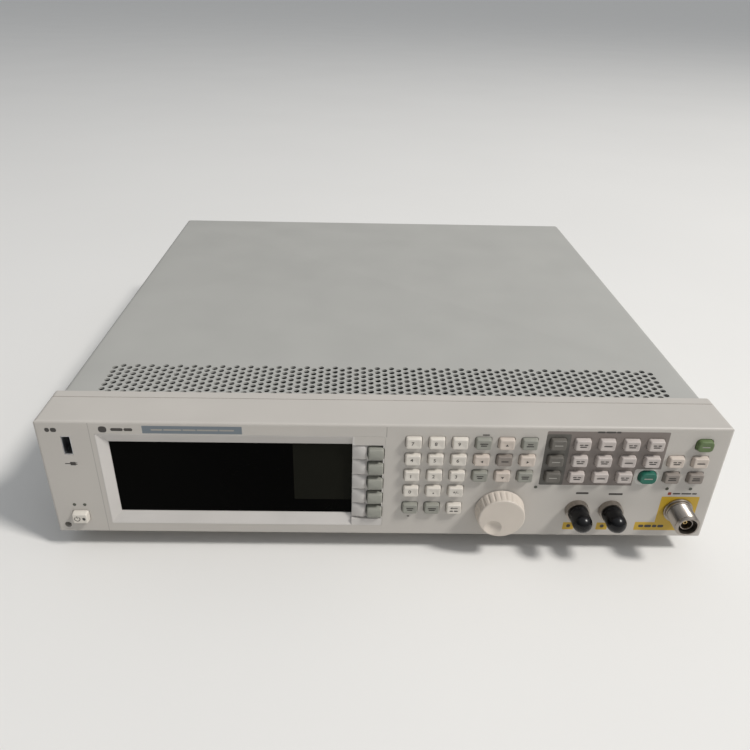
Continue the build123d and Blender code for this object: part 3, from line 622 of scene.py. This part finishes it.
def build_pads():
    """Five domed pads that climb from the glass towards the soft keys."""
    keys = [panel_mm(sum(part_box(node), Vector()) / 2).z for node in NODES if node.startswith("softkey_")]
    half = (max(keys) - min(keys)) / (len(keys) - 1) / 2 - PAD_GAP
    pads = [pad(z, half) for z in sorted(keys)]
    new_piece("softkey_pads", *merged(*pads), "surround_plastic", "case")


def pad(z, half):
    """A ramp with a round section: the crown rises from glass to key, and the sides stay at the foot."""
    (x0, x1), (low, high), (along, across) = PAD_ENDS, PAD_RISE, PAD_STEPS
    verts = []
    for i in range(along + 1):
        crown = low + (high - low) * math.sin(math.pi / 2 * i / along)
        for j in range(across + 1):
            side = 2 * j / across - 1
            rise = crown * math.sqrt(max(0, 1 - side ** 2))
            verts.append(at(x0 + (x1 - x0) * i / along, PAD_FEET - rise, z + half * side))
    row = across + 1
    faces = [(a, a + 1, a + row + 1, a + row) for i in range(along) for a in range(i * row, i * row + across)]
    faces += [tuple(range(row)), tuple(range(along * row + across, along * row - 1, -1))]
    rim = [i * row for i in range(along, -1, -1)] + [i * row + across for i in range(along + 1)]
    faces.append(tuple(rim))
    return verts, faces


# ---------------------------------------------------------------- cover

SHEET, COVER_ROUND, BEND_STEPS = 1.2, 4.0, 6
HOLE_R, HOLE_STEP, HOLE_ROW, HOLE_COLUMNS, HOLES_LONG = 1.98, 4.9, 5.61, 77, 7
HOLE_X, HOLE_Y = 0.9, 36.8                     # middle of the field, and first hole of a long column
HOLE_SIDES = 14                                # edges round half a hole


def vent_cell(x, y, z):
    """One cell of the vent field: two faces round a hole, which share their edges with every neighbour."""
    a, b = HOLE_STEP / 2, HOLE_ROW / 2
    verts, faces = [], []
    for side in (-1, 1):
        rim = [(x + side * HOLE_R * math.sin(math.pi * i / HOLE_SIDES),
                y - HOLE_R * math.cos(math.pi * i / HOLE_SIDES)) for i in range(HOLE_SIDES + 1)]
        loop = rim + [(x, y + b), (x + side * a, y + b), (x + side * a, y), (x + side * a, y - b), (x, y - b)]
        faces.append(tuple(range(len(verts), len(verts) + len(loop))))
        verts += [at(px, py, z) for px, py in loop]
    return verts, faces


def vent_field(z):
    """Staggered columns of round holes; half cells fill the ends of the short columns."""
    cells = []
    for column in range(HOLE_COLUMNS):
        x = HOLE_X + (column - (HOLE_COLUMNS - 1) / 2) * HOLE_STEP
        short = 1 - column % 2
        start = HOLE_Y + short * HOLE_ROW / 2
        cells += [vent_cell(x, start + HOLE_ROW * i, z) for i in range(HOLES_LONG - short)]
        if short:
            for end in (HOLE_Y - HOLE_ROW / 2, HOLE_Y + HOLE_ROW * (HOLES_LONG - 1)):
                points = [(x - HOLE_STEP / 2, end), (x, end), (x + HOLE_STEP / 2, end),
                          (x + HOLE_STEP / 2, end + HOLE_ROW / 2), (x, end + HOLE_ROW / 2),
                          (x - HOLE_STEP / 2, end + HOLE_ROW / 2)]
                cells.append(([at(px, py, z) for px, py in points], [tuple(range(6))]))
    return merged(*cells)


def cover_skin():
    """Outer surface of the sleeve, open at both ends, with the vent field set in its top."""
    low, high = (panel_mm(corner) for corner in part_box("outer_cover"))
    half, r = (high.x - low.x) / 2, COVER_ROUND
    corners = ((half - r, high.z - r, 90), (half - r, low.z + r, 0), (r - half, low.z + r, -90),
               (r - half, high.z - r, -180))
    bend = [point for cx, cz, start in corners for point in arc(cx, cz, r, start, start - 90, BEND_STEPS)]
    flat_x = half - r
    rows = [low.y, *field_rows(), high.y]
    grid = [[at(px, y, pz) for px, pz in bend] for y in rows]
    verts = [point for row in grid for point in row]
    count = len(bend)
    faces = [(a * count + i, a * count + i + 1, (a + 1) * count + i + 1, (a + 1) * count + i)
             for a in range(len(rows) - 1) for i in range(count - 1)]
    side = HOLE_COLUMNS * HOLE_STEP / 2
    front, back = field_rows()[0], field_rows()[-1]
    across = [HOLE_X + (i - HOLE_COLUMNS) * HOLE_STEP / 2 for i in range(2 * HOLE_COLUMNS + 1)]
    strips = [[(-flat_x, low.y), (flat_x, low.y), (flat_x, front)] +
              [(x, front) for x in reversed(across)] + [(-flat_x, front)],
              [(-flat_x, back)] + [(x, back) for x in across] +
              [(flat_x, back), (flat_x, high.y), (-flat_x, high.y)]]
    for sign in (-1, 1):
        strips.append([(HOLE_X + sign * side, y) for y in field_rows()] +
                      [(sign * flat_x, y) for y in reversed(field_rows())])
    flats = [([at(px, py, high.z) for px, py in strip], [tuple(range(len(strip)))]) for strip in strips]
    return merged((verts, faces), vent_field(high.z), *flats)


def field_rows():
    """Y of every cell corner down the side of the vent field."""
    return [HOLE_Y - HOLE_ROW / 2 + HOLE_ROW / 2 * i for i in range(2 * HOLES_LONG + 1)]


def build_cover():
    """Perforated steel sleeve with real thickness."""
    cover = new_piece("vented_cover", *cover_skin(), "case_paint", "case")
    thick = cover.modifiers.new("sheet", "SOLIDIFY")
    thick.thickness = SHEET * MM
    thick.offset = -1
    thick.use_quality_normals = True
    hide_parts("outer_cover")


# ---------------------------------------------------------------- knob, caps and sockets

KNOB_TAPER, KNOB_ROLL = 1.1, 1.0               # loss of radius to the front, radius of the front edge
KNOB_HEEL = 0.25                               # chamfer of the back edge
FLUTES, FLUTE_DEEP, FLUTE_SIDES = 26, 0.55, 8
DIMPLE_X, DIMPLE_Z, DIMPLE_R, DIMPLE_DEEP = -5.0, -7.3, 5.7, 1.9


def build_knob():
    """Fluted knob with a rolled front edge and a finger dimple."""
    low, high = node_box("knob")
    x, z = (low.x + high.x) / 2, (low.z + high.z) / 2
    back_r, depth = (high.x - low.x) / 2, high.y - low.y
    front_r, roll, back_y, front_y = back_r - KNOB_TAPER, KNOB_ROLL, high.y, low.y
    profile = [(back_r - 2.6, back_y - 2.0), (back_r - 2.4, back_y), (back_r - KNOB_HEEL, back_y),
               (back_r, back_y - KNOB_HEEL)]
    side = depth - roll - KNOB_HEEL
    profile += [(back_r - KNOB_TAPER * t, back_y - KNOB_HEEL - side * t)
                for t in (i / 12 for i in range(1, 13))]
    profile += [(front_r - roll + roll * math.cos(a), front_y + roll - roll * math.sin(a))
                for a in (math.radians(15 * i) for i in range(1, 7))]
    face_r = front_r - roll
    profile += [(face_r * (1 - i / 40), front_y) for i in range(1, 40)]
    segments = FLUTES * FLUTE_SIDES
    rings = []
    for radius, y in profile:
        rings.append([])
        along = (back_y - y) / depth
        swell = math.sin(math.pi * min(1, max(0, (along - 0.06) / 0.86)))
        fade = max(0.0, swell) ** 0.35 if radius > face_r else 0
        for i in range(segments):
            turn = 2 * math.pi * i / segments
            cut = FLUTE_DEEP * fade * max(0.0, math.cos(FLUTES * turn)) ** 1.5
            px, pz = (radius - cut) * math.cos(turn), (radius - cut) * math.sin(turn)
            away = math.hypot(px - DIMPLE_X, pz - DIMPLE_Z) / DIMPLE_R
            dip = DIMPLE_DEEP * (1 - away * away) if away < 1 and y < front_y + roll / 2 else 0
            rings[-1].append(at(x + px, y + dip, z + pz))
    piece = new_piece("tuning_knob", *skin(rings), "knob_plastic", "knob")
    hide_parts("knob")


def build_cap(node):
    """Soft dust cap: rolled rim, slightly waisted barrel and a domed end; hollow behind."""
    low, high = node_box(node)
    x, z = (low.x + high.x) / 2, (low.z + high.z) / 2
    rim, r, back, tip = (high.x - low.x) / 2, (high.x - low.x) / 2 - 0.3, high.y, low.y
    inner = r - 0.6
    profile = [(inner, tip + r), (inner, back), (rim - 0.3, back), (rim, back - 0.3), (rim, back - 1.1),
               (r, back - 1.6), (r - 0.08, (back + tip + r) / 2)]
    profile += [(r * math.cos(a), tip + r - r * math.sin(a))
                for a in (math.radians(8 * i) for i in range(12))]
    piece = new_piece(f"{node}_shell", *lathe(x, z, profile), "cap_rubber", node)
    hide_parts(node)


BARREL_R, THREAD_PITCH, THREAD_DEEP = 7.9, 1.058, 0.42
THREAD_SIDES, THREAD_STEPS = 96, 12            # points round, and levels in one turn


def build_output():
    """Threaded coaxial output: flange, shoulder, threaded barrel, inner sleeve, liner and contact."""
    low, high = node_box("rf_output_connector")
    x, z, tip = (low.x + high.x) / 2, (low.z + high.z) / 2, low.y
    flange = [(8.0, -0.02), (9.2, -0.02), (9.4, -0.25), (9.4, -1.35), (9.15, -1.6), (8.0, -1.6)]
    new_piece("output_flange", *lathe(x, z, flange, 72), "nickel", "case")
    shoulder = [(7.6, -1.5), (8.6, -1.5), (8.6, -2.9), (8.3, -3.2), (7.6, -3.2)]
    new_piece("output_shoulder", *lathe(x, z, shoulder, 72), "nickel", "case")
    rings, start = [], -3.1
    length = start - (tip + 0.9)
    levels = int(length / THREAD_PITCH * THREAD_STEPS)
    for level in range(levels + 1):
        y = start - length * level / levels
        lead = min(1.0, level / THREAD_STEPS, (levels - level) / THREAD_STEPS)
        ring = []
        for i in range(THREAD_SIDES):
            phase = (y / THREAD_PITCH + i / THREAD_SIDES) % 1
            cut = THREAD_DEEP * lead * (1 - abs(2 * phase - 1))
            turn = 2 * math.pi * i / THREAD_SIDES
            ring.append(at(x + (BARREL_R - cut) * math.cos(turn), y, z + (BARREL_R - cut) * math.sin(turn)))
        rings.append(ring)
    turns = [2 * math.pi * i / THREAD_SIDES for i in range(THREAD_SIDES)]
    circle = [(math.cos(turn), math.sin(turn)) for turn in turns]
    for radius, y in ((7.1, tip + 0.15), (6.9, tip), (6.1, tip), (5.9, tip + 0.2), (5.9, -8.0)):
        rings.append([at(x + radius * c, y, z + radius * s) for c, s in circle])
    piece = new_piece("output_barrel", *skin(rings), "nickel", "case")
    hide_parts("rf_output_connector")
    sleeve = [(4.2, -7.5), (4.2, tip + 2.8), (4.0, tip + 2.5), (3.5, tip + 2.5), (3.5, -7.5)]
    new_piece("output_sleeve", *lathe(x, z, sleeve, 48, wrap=True), "nickel", "case")
    pin = [(1.6, -7.8), (1.6, tip + 4.8), (1.35, tip + 4.5), (0.85, tip + 4.5), (0.85, tip + 9.0)]
    new_piece("output_contact", *lathe(x, z, pin, 32), "brass", "case", "nickel")
    liner = [(5.85, -7.9), (5.85, -8.6), (4.25, -8.6), (4.25, -7.9)]
    new_piece("output_liner", *lathe(x, z, liner, 48, wrap=True), "surround_plastic", "case")


GUARD_RINGS, GUARD_FIRST, GUARD_STEP = 5, 8, 7.4         # rings, radius of the first, and step
GUARD_WIRE, GUARD_REACH = 0.9, 45              # wire radius, and how far the spokes reach
EYE_AT, EYE_R = 46.5, 2.6                      # screw eyes at the spokes' ends


def build_guard():
    """Wire finger guard over the fan opening at the rear."""
    low, high = node_box("fan_frame")
    x, z = (low.x + high.x) / 2, (low.z + high.z) / 2
    back = panel_mm(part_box("rear_panel")[1]).y
    shapes = []
    for ring in range(GUARD_RINGS):
        wire = arc(GUARD_FIRST + GUARD_STEP * ring, back + 2.6, GUARD_WIRE, 0, 330, 11)
        shapes.append(lathe(x, z, wire, 64, wrap=True))
    for turn in (45, 135, 225, 315):
        c, s = math.cos(math.radians(turn)), math.sin(math.radians(turn))
        shapes.append(rail(at(x + GUARD_FIRST * c, back + 1.6, z + GUARD_FIRST * s),
                           at(x + GUARD_REACH * c, back + 1.0, z + GUARD_REACH * s), GUARD_WIRE * MM))
        eye = arc(EYE_R, back + 1.0, GUARD_WIRE, 0, 330, 11)
        shapes.append(lathe(x + EYE_AT * c, z + EYE_AT * s, eye, 24, wrap=True))
    new_piece("fan_guard", *merged(*shapes), "zinc_steel", "case")


def rail(start, end, radius, sides=12):
    """Straight round wire between two points."""
    line = (end - start).normalized()
    first = line.orthogonal().normalized()
    second = line.cross(first)
    turns = [2 * math.pi * i / sides for i in range(sides)]
    return skin([[point + radius * (math.cos(turn) * first + math.sin(turn) * second) for turn in turns]
                 for point in (start, end)])


# ---------------------------------------------------------------- carried-over nodes

NODE_MATERIALS = {
    "front_bezel": "bezel_plastic", "display_frame": "surround_plastic", "display_window": "display_glass",
    "lcd_module": "lcd_metal", "keypad_board": "circuit_board", "chassis": "zinc_steel",
    "rear_panel": "rear_plate", "power_supply": "zinc_steel", "rf_module": "module_metal",
    "processor_board": "circuit_board", "fan_frame": "black_plastic", "fan_rotor": "black_plastic",
    "power_inlet": "black_plastic", "rear_connectors": "nickel", "input_connectors": "nickel",
    "usb_socket": "zinc_steel", "rotary_encoder": "zinc_steel", "encoder_shaft": "zinc_steel",
    "bottom_feet": "foot_rubber", "rear_feet": "rear_plastic", "screws": "zinc_steel",
    "indicator_leds": "led_lens", "rf_cable": "copper", "tilt_stand_left": "zinc_steel",
    "tilt_stand_right": "zinc_steel",
}


def dress_nodes():
    """Gives every CAD node that stays its finished material."""
    for node, name in NODE_MATERIALS.items():
        slots = NODES[node].data.materials
        slots.clear()
        slots.append(MATERIALS[name])


# ---------------------------------------------------------------- studio

CAMERA = (-20.87, -335.88, 320.6)              # panel millimetres
PITCH, YAW, ROLL = 28.2, 1.09, 1.28            # degrees: down, to the right, and about the view line
LENS, SENSOR = 32.17776, 36.0                  # millimetres
SHIFT_X, SHIFT_Y = 0.0137, -0.0355
SKY_FROM, SKY_TONE = (0.25, -0.10, 0.95), (0.97, 1.0, 1.035)     # brightest part of the room, its colour
SKY_SPAN, SKY_LEVELS = (-0.1, 1.0), (0.03, 0.64)         # cosine off that part, and strength there
ROOM_TONE = 0.5                                # strength of the pale room that the lens sees
FLOOR_TONE, FLOOR_HALF = (0.76, 0.75, 0.73), 400.0       # metres
KEY_FROM, KEY_FAR, KEY_SIZE = (0.56, -0.30, 0.77), 4.5, 0.75     # towards the lamp, metres, metres
KEY_TONE, KEY_POWER = (1.0, 0.975, 0.94), 148.0          # watts


def build_camera():
    """Camera at the reference viewpoint."""
    pitch, yaw, roll = (math.radians(angle) for angle in (PITCH, YAW, ROLL))
    forward = Vector((math.sin(yaw) * math.cos(pitch), math.cos(yaw) * math.cos(pitch), -math.sin(pitch)))
    right = Vector((math.cos(yaw), -math.sin(yaw), 0))
    up = right.cross(forward)
    c, s = math.cos(roll), math.sin(roll)
    right, up = right * c + up * s, up * c - right * s
    data = bpy.data.cameras.new("camera")
    data.sensor_width = SENSOR
    data.lens = LENS
    data.shift_x, data.shift_y = SHIFT_X, SHIFT_Y
    data.clip_start = 0.01
    camera = bpy.data.objects.new("camera", data)
    turn = Matrix((right, up, -forward)).transposed().to_4x4()
    camera.matrix_world = Matrix.Translation(at(*CAMERA)) @ turn
    bpy.context.scene.collection.objects.link(camera)
    bpy.context.scene.camera = camera


def build_room():
    """A room that is bright overhead and dim at eye level, and pale where the lens sees it."""
    world = bpy.data.worlds.new("studio")
    world.use_nodes = True
    tree = world.node_tree
    place = tree.nodes.new("ShaderNodeTexCoord").outputs["Generated"]
    towards = tree.nodes.new("ShaderNodeVectorMath")
    towards.operation = "DOT_PRODUCT"
    towards.inputs[1].default_value = Vector(SKY_FROM).normalized()
    tree.links.new(place, towards.inputs[0])
    rise = tree.nodes.new("ShaderNodeMapRange")
    rise.interpolation_type = "SMOOTHSTEP"
    rise.inputs["From Min"].default_value, rise.inputs["From Max"].default_value = SKY_SPAN
    rise.inputs["To Min"].default_value, rise.inputs["To Max"].default_value = SKY_LEVELS
    tree.links.new(towards.outputs["Value"], rise.inputs["Value"])
    tree.nodes["Background"].inputs["Color"].default_value = (*SKY_TONE, 1)
    seen = tree.nodes.new("ShaderNodeMix")
    tree.links.new(tree.nodes.new("ShaderNodeLightPath").outputs["Is Camera Ray"], seen.inputs["Factor"])
    tree.links.new(rise.outputs["Result"], seen.inputs["A"])
    seen.inputs["B"].default_value = ROOM_TONE
    tree.links.new(seen.outputs["Result"], tree.nodes["Background"].inputs["Strength"])
    bpy.context.scene.world = world


def build_floor():
    """Pale paper floor, wide enough to meet the horizon."""
    size = FLOOR_HALF
    floor = bpy.data.meshes.new("floor")
    floor.from_pydata([(-size, -size, 0), (size, -size, 0), (size, size, 0), (-size, size, 0)], [],
                      [(0, 1, 2, 3)])
    made, tree, shader = new_material("floor_paper", FLOOR_TONE, 0.9, specular=0.1)
    clouds = ramp(tree, noise_node(tree, 3), 0, 1)
    tone = mix_colour(tree, clouds, shaded(FLOOR_TONE, -0.01), shaded(FLOOR_TONE, 0.01))
    tree.links.new(tone, shader.inputs["Base Color"])
    floor.materials.append(made)
    ground = bpy.data.objects.new("floor", floor)
    bpy.context.scene.collection.objects.link(ground)


def build_lamp():
    """A soft round light from the upper right."""
    data = bpy.data.lights.new("key_light", "AREA")
    data.shape, data.size = "DISK", KEY_SIZE
    data.energy, data.color = KEY_POWER, KEY_TONE
    lamp = bpy.data.objects.new("key_light", data)
    towards = Vector(KEY_FROM).normalized()
    turn = towards.to_track_quat("Z", "Y").to_matrix().to_4x4()
    lamp.matrix_world = Matrix.Translation(towards * KEY_FAR) @ turn
    bpy.context.scene.collection.objects.link(lamp)


bpy.context.scene.view_settings.view_transform = "Standard"
build_camera()
build_room()
build_floor()
build_lamp()
dress_nodes()
build_cover()
build_keys()
build_print()
build_pads()
build_knob()
build_cap("i_input_cap")
build_cap("q_input_cap")
build_output()
build_guard()
